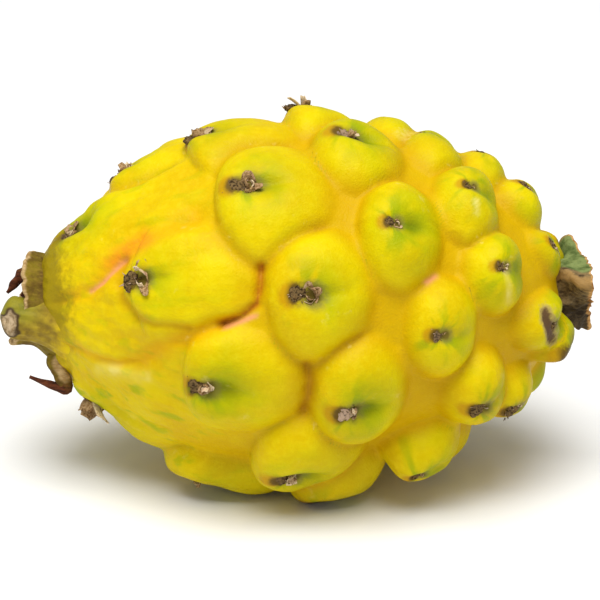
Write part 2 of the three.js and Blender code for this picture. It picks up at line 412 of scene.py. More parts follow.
# rind: a ball laid over the egg and lifted tubercle by tubercle
rindValues = {
    "Tubercles": tuberclePoints, "Grid": 121,
    "Half Length": egg["halfLength"], "Radius": egg["radius"],
    "Stem Power": egg["stemPower"], "Flower Power": egg["flowerPower"],
    "Lean": tubercle["lean"], "Lean Power": tubercle["leanPower"], "Softness": 12.0, "Blur": 9,
    "Fill": 1.0, "Flower Fill": 3.6, "Fill Share": 0.8,  # valley floors, over the whole and near the flower
    "Groove": 1.8, "Groove Width": 1.3, "Groove Blur": 5, "Dent Blur": 2,  # grooves are where two pads meet
    "Hollow": 1.7, "Hollow Behind": 3.6, "Hollow Length": 3.0, "Hollow Width": 2.8,  # behind each areole
    "Fold": 0.7, "Fold Width": 0.9, "Fold Behind": 4.5, "Fold Length": 4.0,
    "Pit": 0.9, "Pit Width": 1.5,  # under each areole
    "Lump": 0.9, "Lump Size": 9.0, "Ripple": 0.16, "Ripple Size": 2.2,
    "Ridge": 2.2, "Ridge Size": 5.0, "Ridge Stretch": 5.0,  # lengthwise, near the flower
    "Ragged": 0.8,  # edges of the marks above
    "Seat": -47.0, "Seat Radius": 7.48,  # under the flower's collar
    "Floor": -axisAt.z, "Axis": axisAt,
}


def eggBall(tree, given, here):
    grid = {"Vertices " + axis: given["Grid"] for axis in "XYZ"}
    cube = addNode(tree, "GeometryNodeMeshCube", {"Size": (2, 2, 2), **grid})
    direction = (here * (math.pi / 4)).through("TANGENT").through("NORMALIZE")
    cosine, dirY, dirZ = direction.split()
    sine = (1.0 - cosine * cosine).through("MAXIMUM", 1e-6) ** 0.5
    atStem = cosine.over(0.0)
    power = given["Flower Power"] + (given["Stem Power"] - given["Flower Power"]) * atStem
    radius = given["Radius"] * sine ** power
    slopeX = given["Half Length"] * sine * -1.0
    slopeR = given["Radius"] * power * cosine * sine ** (power - 1.0)
    length = (slopeX * slopeX + slopeR * slopeR) ** 0.5
    slopeX = slopeX / length
    slopeR = slopeR / length
    outY = dirY / sine
    outZ = dirZ / sine

    def alongEgg(x, r):
        return joinXyz(tree, x, outY * r, outZ * r)

    geometry = stored(tree, cube.outputs["Mesh"], "eggNormal", alongEgg(slopeR, slopeX * -1.0))
    geometry = stored(tree, geometry, "eggToFlower", alongEgg(slopeX, slopeR))
    geometry = stored(tree, geometry, "share", cosine * 0.5 + 0.5)
    return moved(tree, geometry, alongEgg(given["Half Length"] * cosine, radius))


def gatherPads(tree, given, geometry, here):  # one turn of the loop for each tubercle
    points = addNode(tree, "GeometryNodeObjectInfo", {"Object": given["Tubercles"]}).outputs["Geometry"]
    count = addNode(tree, "GeometryNodeAttributeDomainSize", {"Geometry": points}).outputs["Point Count"]
    loopIn = tree.nodes.new("GeometryNodeRepeatInput")
    loopOut = tree.nodes.new("GeometryNodeRepeatOutput")
    loopIn.pair_with_output(loopOut)
    feed(tree, loopIn.inputs["Iterations"], count)
    feed(tree, loopIn.inputs["Geometry"], geometry)

    def ofTubercle(name):
        sample = addNode(tree, "GeometryNodeSampleIndex", data_type="FLOAT_VECTOR", domain="POINT")
        feed(tree, sample.inputs["Geometry"], points)
        value = here if name == "position" else named(tree, name, True)
        feed(tree, sample.inputs["Value"], value)
        feed(tree, sample.inputs["Index"], loopIn.outputs["Iteration"])
        return Wire(tree, sample.outputs["Value"])

    offset = here - ofTubercle("position")
    ahead = offset.dot(ofTubercle("toFlower"))
    side = offset.dot(ofTubercle("around"))
    depth = offset.dot(ofTubercle("normal"))
    height, halfWidth, fullness = ofTubercle("size").split()
    forward, backward = ofTubercle("reach").split()[:2]
    padSeed, areoleAhead = ofTubercle("mark").split()[1:]
    lengthwise = ahead / (backward + (forward - backward) * ahead.over(0.0))
    crosswise = ((side * side + depth * depth) ** 0.5) / halfWidth
    distance = (lengthwise * lengthwise + crosswise * crosswise) ** 0.5
    dome = height * (1.0 - distance ** fullness).through("MAXIMUM", 0.0)

    best = named(tree, "best")
    wins = dome.over(best)

    def winner(name, value):
        old = named(tree, name)
        return old + (value - old) * wins

    inside = loopIn.outputs["Geometry"]
    inside = stored(tree, inside, "liftSum", named(tree, "liftSum") + dome ** given["Softness"])
    inside = stored(tree, inside, "tipAhead", winner("tipAhead", ahead - areoleAhead))
    inside = stored(tree, inside, "tipSide", winner("tipSide", side))
    inside = stored(tree, inside, "padSeed", winner("padSeed", padSeed))
    areole = ofTubercle("areole").split()[0]
    inside = stored(tree, inside, "areoleSize", winner("areoleSize", areole))
    runnerUp = dome.through("MINIMUM", best).through("MAXIMUM", named(tree, "next"))
    inside = stored(tree, inside, "next", runnerUp)
    inside = stored(tree, inside, "best", best.through("MAXIMUM", dome))
    feed(tree, loopOut.inputs["Geometry"], inside)
    return loopOut.outputs["Geometry"]


def markSkin(tree, given, geometry, placed, ripple):
    geometry = stored(tree, geometry, "placed", placed)
    placed = named(tree, "placed", True)
    normal = named(tree, "eggNormal", True)
    pixel = joinXyz(tree, *onPhotograph(placed), 0.0)
    seen = normal.dot(viewAxes()[2]).ramp(0.0, 0.25)  # on the photograph's side
    for kind, lines in skinMarks.items():
        mask, cut = seen * 0.0, seen * 0.0
        for points, width, depth in lines:
            for start, end in zip(points, points[1:]):
                away = awayFromLine(tree, pixel, start, end) / width
                near = (away + ripple * given["Ragged"]).bell() * seen
                mask = mask.through("MAXIMUM", near)
                cut = cut.through("MAXIMUM", near * depth)
        geometry = stored(tree, geometry, kind, mask)
        placed = placed - normal * cut
    return geometry, placed


def makeRindTree():
    kinds = {name: "Float" for name in rindValues}
    kinds.update({"Tubercles": "Object", "Grid": "Int", "Blur": "Int", "Groove Blur": "Int",
                  "Dent Blur": "Int", "Axis": "Vector", "Material": "Material"})
    tree, given = newGeometryTree("tubercled rind", kinds)
    here = hereOf(tree)
    geometry = gatherPads(tree, given, eggBall(tree, given, here), here)

    # lift, with a groove where pads meet, a pit at each areole and a hollow behind it
    lift = blurred(tree, named(tree, "liftSum") ** (given["Softness"] ** -1.0), given["Blur"])
    share = named(tree, "share")
    fill = given["Fill"] + (given["Flower Fill"] - given["Fill"]) * share.ramp(0.15, 0.65, 1.0, 0.0)
    fill = fill * share.ramp(0.005, 0.09)
    lift = lift + (fill - lift).through("MAXIMUM", 0.0) * given["Fill Share"]
    gap = named(tree, "best") - named(tree, "next")
    meets = (gap / given["Groove Width"]).bell() * named(tree, "next").ramp(0.4, 2.0)
    meets = meets * share.ramp(0.3, 0.65, 0.55, 1.0)  # shallower towards the flower
    tipAhead = named(tree, "tipAhead")
    tipSide = named(tree, "tipSide")
    onPad = named(tree, "best").ramp(1.0, 3.0) * gap.ramp(0.2, 1.8)
    hollow = ((tipAhead + given["Hollow Behind"]) / given["Hollow Length"]).bell() \
        * (tipSide / given["Hollow Width"]).bell() * named(tree, "padSeed").ramp(0.0, 1.0, 0.35, 1.25)
    pitWidth = given["Pit Width"] * named(tree, "areoleSize").through("MAXIMUM", 0.3)
    pit = (tipAhead / pitWidth).bell() * (tipSide / pitWidth).bell()
    lump = noiseOf(tree, here, given["Lump Size"] ** -1.0) - 0.5
    ripple = noiseOf(tree, here, given["Ripple Size"] ** -1.0) - 0.5
    fold = ((tipSide + lump * 5.0) / given["Fold Width"]).bell() \
        * ((tipAhead + given["Fold Behind"]) / given["Fold Length"]).bell()
    dents = (given["Hollow"] * hollow + given["Pit"] * pit + given["Fold"] * fold) * onPad
    raised = lift - blurred(tree, given["Groove"] * meets, given["Groove Blur"]) \
        - blurred(tree, dents, given["Dent Blur"])
    across = given["Ridge Size"] ** -1.0
    ridges = noiseOf(tree, here * joinXyz(tree, across / given["Ridge Stretch"], across, across), 1.0) - 0.5
    raised = raised + given["Lump"] * lump + given["Ripple"] * ripple
    raised = raised + given["Ridge"] * ridges * share.ramp(0.2, 0.55, 1.0, 0.0)
    geometry = stored(tree, geometry, "lift", lift)
    geometry = stored(tree, geometry, "gap", gap)
    geometry = stored(tree, geometry, "meets", blurred(tree, meets, 1))
    geometry = stored(tree, geometry, "onPad", onPad)
    tilt = given["Lean"] * (1.0 - share) ** given["Lean Power"]
    placed = here + named(tree, "eggNormal", True) * raised \
        + named(tree, "eggToFlower", True) * (tilt * lift)
    geometry, placed = markSkin(tree, given, geometry, placed, ripple)
    x, y, z = placed.split()
    underCollar = (y * y + z * z).through("LESS_THAN", given["Seat Radius"] ** 2.0)
    x = x + (x.through("MAXIMUM", given["Seat"]) - x) * underCollar
    placed = joinXyz(tree, x, y, z.through("MAXIMUM", given["Floor"]))
    geometry = moved(tree, geometry, (placed + given["Axis"]) * mm)
    endTree(tree, geometry, given["Material"])
    return tree


# materials: a finish holds roughness, gloss, strength and depth (mm) of the bump, and colours
def newMaterial(name, finish):
    made = bpy.data.materials.new(name)
    made.use_nodes = True
    shader = made.node_tree.nodes["Principled BSDF"]
    shader.inputs["Roughness"].default_value = finish["roughness"]
    shader.inputs["Specular IOR Level"].default_value = finish["specular"]
    return made, made.node_tree, shader


def hexColour(code):
    parts = [int(code[i:i + 2], 16) / 255 for i in (0, 2, 4)]
    return [p / 12.92 if p <= 0.04045 else ((p + 0.055) / 1.055) ** 2.4 for p in parts] + [1.0]


def blend(tree, share, first, second):
    made = addNode(tree, "ShaderNodeMix", data_type="RGBA")
    feed(tree, made.inputs[0], share)
    feed(tree, made.inputs[6], first)
    feed(tree, made.inputs[7], second)
    return Wire(tree, made.outputs[2])


def attributeOf(tree, name):
    made = addNode(tree, "ShaderNodeAttribute", attribute_name=name)
    return Wire(tree, made.outputs["Fac"])


def objectPlace(tree):
    return Wire(tree, tree.nodes.new("ShaderNodeTexCoord").outputs["Object"])


def bumped(tree, shader, height, finish):
    made = addNode(tree, "ShaderNodeBump",
                   {"Strength": finish["bump"], "Distance": finish["bumpDepth"] * mm})
    feed(tree, made.inputs["Height"], height)
    tree.links.new(made.outputs[0], shader.inputs["Normal"])


# two colours mottled by a noise, used by every finish but the floor
def makeMottleGroup():
    group = bpy.data.node_groups.new("mottle", "ShaderNodeTree")
    for name, kind in (("Place", "Vector"), ("Scale", "Float"), ("Detail", "Float"), ("Rough", "Float"),
                       ("Low", "Float"), ("High", "Float"), ("First", "Color"), ("Second", "Color")):
        group.interface.new_socket(name, in_out="INPUT", socket_type="NodeSocket" + kind)
    for name, kind in (("Colour", "Color"), ("Fleck", "Float")):
        group.interface.new_socket(name, in_out="OUTPUT", socket_type="NodeSocket" + kind)
    given = group.nodes.new("NodeGroupInput").outputs
    fleck = noiseOf(group, given["Place"], given["Scale"], given["Detail"], given["Rough"])
    colour = blend(group, fleck.ramp(given["Low"], given["High"]), given["First"], given["Second"])
    out = group.nodes.new("NodeGroupOutput")
    feed(group, out.inputs["Colour"], colour)
    feed(group, out.inputs["Fleck"], fleck)
    return group


mottleGroup = makeMottleGroup()


def mottled(tree, place, scale, first, second, low=0.35, high=0.65, detail=4.0, rough=0.6):
    made = addNode(tree, "ShaderNodeGroup", node_tree=mottleGroup, inputs={
        "Place": place, "Scale": scale, "Detail": detail, "Rough": rough, "Low": low, "High": high,
        "First": hexColour(first), "Second": hexColour(second)})
    return Wire(tree, made.outputs["Colour"]), Wire(tree, made.outputs["Fleck"])


rindFinish = {"roughness": 0.42, "specular": 0.07, "bump": 0.24, "bumpDepth": 0.6,
              "skin": ("dcc600", "d4b200")}
rindColours = {
    "lemon": "e8d41c", "valleyShadeOchre": "c29604", "creaseShade": "a8740c", "green": "9aaa00", "leaf": "7f9a08",
    "hollowGreenShade": "5c6c0c", "stain": "54401c", "rustAndStepShade": "b8800a", "felt": "7c7634", "scuffAndHighlight": "f3e48a",
    "scar": "e09a64", "blush": "e6901c", "cork": "a0895a", "sunken": "4e3428", "cleft": "b06c10",
    "foldShade": "dd9c08", "neck": "8c7a14",
}


def makeRindMaterial():
    colours = {name: hexColour(code) for name, code in rindColours.items()}
    made, tree, shader = newMaterial("waxyYellowRind", rindFinish)
    place = objectPlace(tree) * 1000.0  # in mm
    height = place.split()[2]
    ahead = attributeOf(tree, "tipAhead")
    side = attributeOf(tree, "tipSide")
    lift = attributeOf(tree, "lift")
    gap = attributeOf(tree, "gap")
    padSeed = attributeOf(tree, "padSeed")
    onPad = attributeOf(tree, "onPad")
    fine = noiseOf(tree, place, 0.9, 3.0, 0.6)
    colour = mottled(tree, place, 0.09, *rindFinish["skin"], 0.3, 0.65, 5.0)[0]
    colour = blend(tree, fine.ramp(0.4, 0.75) * 0.3, colour, colours["lemon"])
    share = attributeOf(tree, "share")
    # painted shade: the low valley floors between pads turn ochre, more so towards the stem
    low = lift.ramp(1.4, 4.6, 0.7, 0.0) * share.ramp(0.25, 0.6, 0.2, 1.0)
    colour = blend(tree, low, colour, colours["valleyShadeOchre"])
    # painted shade: darker orange-brown in the grooves where pads meet
    creaseShade = attributeOf(tree, "meets") * fine.ramp(0.2, 0.7, 0.35, 0.8)
    colour = blend(tree, creaseShade, colour, colours["creaseShade"])
    # green round the areole, longest towards the stem
    wander = noiseOf(tree, place, 0.22, 3.0) * 2.0 - 1.0
    greenArea = ((ahead + 3.0) / 6.5 + wander * 0.7).bell() * (side / 6.0 + wander * 0.7).bell()
    greenArea = greenArea * padSeed.ramp(0.0, 1.0, 0.2, 0.68) * onPad
    colour = blend(tree, greenArea, colour, colours["green"])
    turn = side.through("ARCTAN2", ahead)
    away = (ahead * ahead + side * side) ** 0.5
    rays = noiseOf(tree, joinXyz(tree, turn.through("COSINE") * 1.2, turn.through("SINE") * 1.2,
                                 padSeed * 40.0 + away * 0.15), 1.0, 3.0)
    rays = (rays - ahead * 0.02).ramp(0.48, 0.66) * (away / 5.0).bell() * onPad
    colour = blend(tree, rays * 0.8, colour, colours["leaf"])
    # dark green in the hollow behind the areole: green of the skin, deepened as painted shade of the hollow
    streak = ((ahead + 3.4) / 2.0).bell() * (side / 1.6 + wander * 0.3).bell() * onPad
    colour = blend(tree, streak * padSeed.ramp(0.1, 0.9, 0.15, 0.7), colour, colours["hollowGreenShade"])
    spot = attributeOf(tree, "areoleSize").through("MAXIMUM", 0.3)
    # brown under the wool, rusty towards the flower, grey green under the cup
    for where, length, width, strength, name in (
            (2.2, 1.6, 1.7, 0.7, "rustAndStepShade"), (-1.2, 1.8, 1.8, 0.75, "felt"), (-1.2, 0.9, 1.0, 0.7, "stain"),
            (1.1, 1.3, 1.5, 0.9, "stain")):
        mask = (ahead / spot - where) / length + wander * 0.3 + (fine - 0.5) * 0.7
        mask = mask.bell() * (side / (spot * width) + wander * 0.3).bell() * onPad
        mask = (mask * fine.ramp(0.1, 0.6, 0.6, 1.2)).ramp(0.1, 0.75) * strength
        colour = blend(tree, mask, colour, colours[name])
    # painted shade: darker orange along the folds and darker brown along the valley
    colour = blend(tree, attributeOf(tree, "fold") * 0.5, colour, colours["foldShade"])
    colour = blend(tree, attributeOf(tree, "valley") * 0.85, colour, colours["creaseShade"])
    # olive streaks near the flower, stronger towards the bottom as painted shade; pale scuffs with painted
    # highlights on what stands out; a brown neck round the collar
    oliveAndUnderShade = noiseOf(tree, place * joinXyz(tree, 0.05, 0.35, 0.35), 1.0, 4.0).ramp(0.52, 0.7)
    # olive made stronger below the middle of the fruit: painted shade of the underside
    oliveAndUnderShade = oliveAndUnderShade * share.ramp(0.2, 0.55, 1.0, 0.0) * height.ramp(22.0, 36.0, 0.85, 0.35)
    colour = blend(tree, oliveAndUnderShade, colour, colours["green"])
    # pale on pad crests and rims: partly real scuffs, partly painted highlight
    scuffAndHighlight = noiseOf(tree, place, 0.13, 5.0, 0.65).ramp(0.62, 0.75) * lift.ramp(2.5, 4.5)
    colour = blend(tree, scuffAndHighlight * 0.35, colour, colours["scuffAndHighlight"])
    rubbedRimAndHighlight = ((gap - 1.3) / 0.9).bell() * lift.ramp(2.6, 4.0)
    rubbedRimAndHighlight = rubbedRimAndHighlight * noiseOf(tree, place, 0.45, 4.0, 0.65).ramp(0.6, 0.72)
    colour = blend(tree, rubbedRimAndHighlight * 0.35, colour, colours["scuffAndHighlight"])
    neck = (share + (fine - 0.5) * 0.04 + wander * 0.02).ramp(0.1, 0.14, 0.85, 0.0)
    neck = neck * height.ramp(30.0, 37.0, 0.45, 1.0)  # browner above
    colour = blend(tree, neck, colour, colours["neck"])
    # single marks of this fruit: the cleft's orange-brown is its own colour with painted shade in its depth,
    # the step is painted shade, the pale lines are a painted highlight with some scuffing, and blush, scars
    # and the sunken scar are the fruit's own colours
    streaky = fine.ramp(0.2, 0.5, 0.5, 1.0)
    for kind, strength, name in (
            ("cleft", streaky, "cleft"), ("blush", fine.ramp(0.25, 0.6, 0.45, 0.85), "blush"),
            ("scar", streaky, "scar"), ("pale", wander.ramp(-0.3, 0.3, 0.15, 0.6), "scuffAndHighlight"),
            ("step", 0.45, "rustAndStepShade")):
        colour = blend(tree, attributeOf(tree, kind) * strength, colour, colours[name])
    sunken = attributeOf(tree, "sunken") + (fine - 0.5) * 0.9
    colour = blend(tree, sunken.ramp(0.15, 0.55) * 0.75, colour, colours["cork"])
    colour = blend(tree, sunken.ramp(0.45, 0.9) * 0.9, colour, colours["sunken"])
    feed(tree, shader.inputs["Base Color"], colour)
    rough = rindFinish["roughness"]
    feed(tree, shader.inputs["Roughness"], fine.ramp(0.2, 0.8, rough - 0.06, rough + 0.1))
    pores = noiseOf(tree, place, 2.2, 2.0, 0.6) + fine * 0.8
    bumped(tree, shader, pores, rindFinish)
    return made


rindMaterial = makeRindMaterial()
fruitSkin = grow("fruitSkin", makeRindTree(), {**rindValues, "Material": rindMaterial})
for spare in ("eggNormal", "eggToFlower", "placed", "liftSum", "best", "next"):
    fruitSkin.data.attributes.remove(fruitSkin.data.attributes[spare])
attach(fruitSkin, "root")
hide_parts("fruit")

# areoles: a woolly spot with short dry spines, and scraps of the withered bract behind it
seatValues = {"above": 6, "ray": 16, "lowest": 2.5, "shares": (0.03, 0.97)}  # in mm, and along the fruit


def areoleSeats(tree, given):
    points = addNode(tree, "GeometryNodeObjectInfo", {"Object": given["Tubercles"]}).outputs["Geometry"]
    skin = addNode(tree, "GeometryNodeObjectInfo", {"Object": given["Skin"]}).outputs["Geometry"]
    normal = named(tree, "normal", True)
    start = (named(tree, "tip", True) + given["Axis"]) * mm + normal * (seatValues["above"] * mm)
    ray = addNode(tree, "GeometryNodeRaycast", {"Target Geometry": skin, "Source Position": start,
                                                "Ray Direction": normal * -1.0,
                                                "Ray Length": seatValues["ray"] * mm})
    seated = moved(tree, points, Wire(tree, ray.outputs["Hit Position"]))
    low = hereOf(tree).split()[2].through("LESS_THAN", seatValues["lowest"] * mm)
    share = named(tree, "mark", True).split()[0]
    first, last = seatValues["shares"]
    atEnd = share.over(last).through("MAXIMUM", share.through("LESS_THAN", first))
    away = low.through("MAXIMUM", atEnd)
    kept = addNode(tree, "GeometryNodeDeleteGeometry", {"Geometry": seated, "Selection": away})
    return kept.outputs[0]


def randomOf(tree, low, high, seed, vector=False):
    made = addNode(tree, "FunctionNodeRandomValue",
                   data_type="FLOAT_VECTOR" if vector else "FLOAT")
    base = 0 if vector else 2
    made.inputs[base].default_value = (low,) * 3 if vector else low
    made.inputs[base + 1].default_value = (high,) * 3 if vector else high
    made.inputs["Seed"].default_value = seed
    return Wire(tree, made.outputs[0 if vector else 1])


def copied(tree, points, amount):
    made = addNode(tree, "GeometryNodeDuplicateElements", {"Geometry": points, "Amount": amount},
                   domain="POINT")
    return made.outputs[0]


tuftValues = {"Width": 1.6, "Thickness": 0.6, "Ahead": 0.85, "Fine Shake": 1.3, "Broad Shake": 1.6,
              "Sunk": 1.5, "Spines": 18, "Spine Length": 0.8, "Spine Width": 0.16, "Spine Tip": 0.03,
              "Spine Spread": 0.9}


def makeTuftTree():
    kinds = {name: "Float" for name in tuftValues}
    kinds.update({"Tubercles": "Object", "Skin": "Object", "Axis": "Vector", "Spines": "Int",
                  "Material": "Material"})
    tree, given = newGeometryTree("areole tufts", kinds)
    normal, ahead, side = (named(tree, name, True) for name in ("normal", "toFlower", "around"))
    big, disc = named(tree, "areole", True).split()[:2]
    seats = moved(tree, areoleSeats(tree, given), offset=ahead * (given["Ahead"] * big * mm))
    seats = stored(tree, seats, "tone", randomOf(tree, 0.0, 0.5, 3) + disc * 0.5)
    ball = addNode(tree, "GeometryNodeMeshIcoSphere", {"Radius": mm, "Subdivisions": 3})
    turn = addNode(tree, "FunctionNodeAxesToRotation", {"Primary Axis": normal, "Secondary Axis": ahead},
                   primary_axis="Z", secondary_axis="X")
    stretch = joinXyz(tree, given["Width"] * randomOf(tree, 0.75, 1.05, 5),
                      given["Width"] * randomOf(tree, 1.0, 1.4, 6), given["Thickness"]) * big
    mounds = addNode(tree, "GeometryNodeInstanceOnPoints", {
        "Points": seats, "Instance": ball.outputs["Mesh"], "Rotation": turn.outputs[0], "Scale": stretch})
    rough = addNode(tree, "GeometryNodeRealizeInstances", {"Geometry": mounds.outputs[0]}).outputs[0]
    shake = noiseOf(tree, hereOf(tree), 1700.0, 3.0) * given["Fine Shake"] \
        + noiseOf(tree, hereOf(tree), 450.0) * given["Broad Shake"] - given["Sunk"]
    outward = Wire(tree, tree.nodes.new("GeometryNodeInputNormal").outputs[0])
    rough = moved(tree, rough, offset=outward * (shake * mm))

    # spines lean out from the middle of the spot
    spines = copied(tree, seats, given["Spines"])
    outX, outY = randomOf(tree, -1.0, 1.0, 11), randomOf(tree, -1.0, 1.0, 12)
    spines = stored(tree, spines, "tone", randomOf(tree, 0.0, 1.0, 13))
    spines = stored(tree, spines, "spineAim",
                    normal * 0.6 + ahead * outX + side * outY + randomOf(tree, -0.3, 0.3, 14, True))
    spines = moved(tree, spines, offset=(ahead * outX + side * outY)
                   * (given["Width"] * big * given["Spine Spread"] * mm))
    aim = addNode(tree, "FunctionNodeAlignRotationToVector",
                  {"Vector": named(tree, "spineAim", True)}, axis="Z")
    cone = addNode(tree, "GeometryNodeMeshCone", {
        "Vertices": 5, "Side Segments": 2, "Radius Top": given["Spine Tip"] * mm,
        "Radius Bottom": given["Spine Width"] * mm, "Depth": given["Spine Length"] * mm})
    thorns = addNode(tree, "GeometryNodeInstanceOnPoints", {
        "Points": spines, "Instance": cone.outputs["Mesh"], "Rotation": aim.outputs[0],
        "Scale": randomOf(tree, 0.5, 1.2, 15) * big})
    both = tree.nodes.new("GeometryNodeJoinGeometry")
    tree.links.new(rough, both.inputs[0])
    tree.links.new(thorns.outputs[0], both.inputs[0])
    endTree(tree, both.outputs[0], given["Material"])
    return tree


flakeValues = {"Scraps": 6, "Width": 0.9, "Length": 1.8, "Thickness": 0.08, "Behind": 1.05,
               "Cup Length": 0.65, "Cup Width": 1.15, "Open": 0.8, "Sunk": 0.35}


def makeFlakeTree():
    kinds = {name: "Float" for name in flakeValues}
    kinds.update({"Tubercles": "Object", "Skin": "Object", "Axis": "Vector", "Scraps": "Int",
                  "Material": "Material"})
    tree, given = newGeometryTree("torn bract cups", kinds)
    normal, ahead, side = (named(tree, name, True) for name in ("normal", "toFlower", "around"))
    big, cup = named(tree, "areole", True).split()[::2]
    seats = addNode(tree, "GeometryNodeDeleteGeometry", {
        "Geometry": areoleSeats(tree, given), "Selection": cup.through("LESS_THAN", 0.05)}).outputs[0]
    ring = addNode(tree, "GeometryNodeDuplicateElements", {"Geometry": seats, "Amount": given["Scraps"]},
                   domain="POINT")
    share = Wire(tree, ring.outputs["Duplicate Index"]) / given["Scraps"] + randomOf(tree, -0.12, 0.12, 21)
    turn = (share - 0.44) * given["Open"] * (2 * math.pi)  # round the cup, from its side towards the stem
    cosine, sine = turn.through("COSINE"), turn.through("SINE")
    outward = side * sine - ahead * cosine
    tangent = side * cosine + ahead * sine
    size = big * cup * mm
    place = side * (sine * given["Cup Width"]) - ahead * (cosine * given["Cup Length"])
    place = place * randomOf(tree, 0.35, 1.1, 22)
    scraps = moved(tree, ring.outputs["Geometry"], offset=ahead * (given["Behind"] * big * -mm)
                   + place * size - normal * (given["Sunk"] * mm))
    scraps = stored(tree, scraps, "tone", randomOf(tree, 0.0, 1.0, 23))
    scraps = stored(tree, scraps, "root", hereOf(tree))
    scraps = stored(tree, scraps, "tall", given["Length"] * randomOf(tree, 0.35, 1.05, 24) * size)
    scraps = stored(tree, scraps, "wide", given["Width"] * randomOf(tree, 0.7, 1.2, 25) * size)
    scraps = stored(tree, scraps, "curl", randomOf(tree, -0.6, 0.8, 26))
    up = (normal + outward * randomOf(tree, 0.0, 0.9, 27)).through("NORMALIZE")
    across = (tangent + outward * randomOf(tree, -0.5, 0.5, 28)).through("NORMALIZE")
    scraps = stored(tree, scraps, "up", up)
    scraps = stored(tree, scraps, "across", across)
    scraps = stored(tree, scraps, "facing", across.through("CROSS_PRODUCT", up))
    slab = addNode(tree, "GeometryNodeMeshCube", {"Size": (2, 2, 2), "Vertices X": 4, "Vertices Y": 5,
                                                  "Vertices Z": 2})
    sheet = stored(tree, slab.outputs["Mesh"], "onSheet", hereOf(tree))
    sheets = addNode(tree, "GeometryNodeInstanceOnPoints", {"Points": scraps, "Instance": sheet})
    real = addNode(tree, "GeometryNodeRealizeInstances", {"Geometry": sheets.outputs[0]}).outputs[0]
    u, v, w = named(tree, "onSheet", True).split()
    along = v * 0.5 + 0.5
    tall, wide = named(tree, "tall"), named(tree, "wide")
    torn = noiseOf(tree, named(tree, "root", True) * 900.0 + named(tree, "onSheet", True) * 0.8, 1.0) - 0.5
    half = wide * (1.0 - along ** 2.0 * 0.45 + torn * 0.4)
    place = named(tree, "root", True) + named(tree, "across", True) * (u * half) \
        + named(tree, "up", True) * (tall * (along + torn * 0.4)) \
        + named(tree, "facing", True) * (wide * (u * u * -0.35 + torn * 0.3)
                                         + tall * along * along * named(tree, "curl")
                                         + w * (given["Thickness"] * mm))
    endTree(tree, moved(tree, real, place), given["Material"])
    return tree


woolFinish = {"roughness": 0.85, "specular": 0.1, "bump": 0.5, "bumpDepth": 0.3,
              "dry": ("261a0c", "77603c"), "pale": "b89c84", "pink": "7c5c34"}
scrapFinish = {**woolFinish, "dry": ("7c5c34", "b4946a"), "pale": "dcc6a0", "pink": "c89c7c"}


def makeDryMaterial(name, finish):
    made, tree, shader = newMaterial(name, finish)
    place = objectPlace(tree) * 1000.0
    tone = attributeOf(tree, "tone")
    colour, fleck = mottled(tree, place, 2.4, *finish["dry"], 0.35, 0.62, 3.0)
    colour = blend(tree, tone.ramp(0.5, 0.9) * fleck.ramp(0.25, 0.5), colour, hexColour(finish["pale"]))
    blotch = noiseOf(tree, place, 0.5, 2.0).ramp(0.55, 0.75) * 0.5
    colour = blend(tree, blotch, colour, hexColour(finish["pink"]))
    feed(tree, shader.inputs["Base Color"], colour)
    bumped(tree, shader, fleck, finish)
    return made


shared = {"Tubercles": tuberclePoints, "Skin": fruitSkin, "Axis": axisAt}
woolMaterial = makeDryMaterial("areoleWool", woolFinish)
flakeMaterial = makeDryMaterial("bractScraps", scrapFinish)
areoleTufts = grow("areoleTufts", makeTuftTree(), {**shared, **tuftValues, "Material": woolMaterial})
bractFlakes = grow("bractFlakes", makeFlakeTree(), {**shared, **flakeValues, "Material": flakeMaterial})
for piece in (areoleTufts, bractFlakes):
    for spare in list(piece.data.attributes):
        if spare.data_type == "FLOAT_VECTOR" and spare.name != "position":
            piece.data.attributes.remove(spare)
    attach(piece, "root")
    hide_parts("fruit")

bpy.data.objects.remove(tuberclePoints)


# lofted pieces: closed rings of points in mm, one after another, with a point at each end
def loft(name, rings, marks, material):
    size = len(rings[0])
    points = [sum(rings[0], Vector()) / size] + [p for ring in rings for p in ring]
    points.append(sum(rings[-1], Vector()) / size)
    last = len(points) - 1
    faces = [(0, 1 + (j + 1) % size, 1 + j) for j in range(size)]
    for i in range(len(rings) - 1):
        a, b = 1 + i * size, 1 + (i + 1) * size
        faces += [(a + j, a + (j + 1) % size, b + (j + 1) % size, b + j) for j in range(size)]
    a = 1 + (len(rings) - 1) * size
    faces += [(a + j, a + (j + 1) % size, last) for j in range(size)]
    mesh = bpy.data.meshes.new(name)
    mesh.from_pydata([(p + axisAt) * mm for p in points], [], faces)
    for label, values in marks.items():
        flat = [values[0][0]] + [v for row in values for v in row] + [values[-1][0]]
        mesh.attributes.new(label, "FLOAT", "POINT").data.foreach_set("value", flat)
    mesh.polygons.foreach_set("use_smooth", [True] * len(mesh.polygons))
    mesh.materials.append(material)
    made = bpy.data.objects.new(name, mesh)
    scene.collection.objects.link(made)
    print(name, len(faces), "faces")
    return made


def wobble(x, y, z=0.0):
    return noise.noise(Vector((x, y, z + 7.3)))


# cut stem: three twisted ribs, wrinkled and corky, with a frayed end
stem = {"place": (44.6, 0, 0.0), "tilt": 12, "length": 12.6, "rootRadius": 4.6, "cutRadius": 7.4,
        "swellFrom": 0.25, "ribDepth": 0.36, "firstRib": 80, "twist": -68, "ribWander": 8, "wrinkle": 1.1,
        "cork": 0.9, "frayed": 2.0, "dish": 1.4, "crumble": 0.5, "rows": 60, "cutRows": 10, "around": 150}
stemFinish = {"roughness": 0.75, "specular": 0.15, "bump": 0.7, "bumpDepth": 0.8,
              "bark": ("43341f", "86704a"), "fresh": ("4c5c2a", "7f8c52"), "pith": ("8a5a28", "cfa060"),
              "margin": "a5824e", "under": "241b10"}


